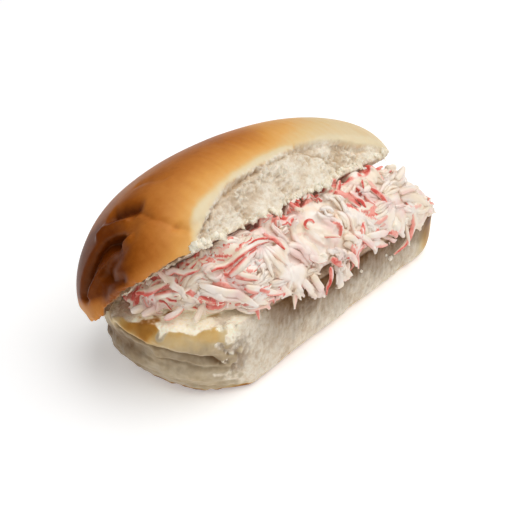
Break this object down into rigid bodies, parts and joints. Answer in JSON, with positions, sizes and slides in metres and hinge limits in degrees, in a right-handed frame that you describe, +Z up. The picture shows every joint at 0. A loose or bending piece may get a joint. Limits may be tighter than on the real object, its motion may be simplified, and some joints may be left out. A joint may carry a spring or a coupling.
{
  "type": "surimi salad roll",
  "caption": "Soft oblong bread roll with torn sides, its lid tipped up over a heap of shredded surimi salad in mayonnaise.",
  "frame": {"origin": "middle of the footprint, on the surface that the roll rests on", "axes": "+X along the roll towards its far end, -Y towards the open side, +Z up"},
  "size_m": [0.1516, 0.0686, 0.0659],
  "materials": {
    "base_bread": "pale matt crumb with a satin golden crust at the ends",
    "lid_bread": "satin glazed brown crust over pale matt crumb",
    "salad": "moist white and red shreds under glossy mayonnaise"
  },
  "bodies": {
    "root": {"roll_base": "base_bread", "roll_lid": "lid_bread", "surimi_salad": "salad"}
  },
  "joints": []
}
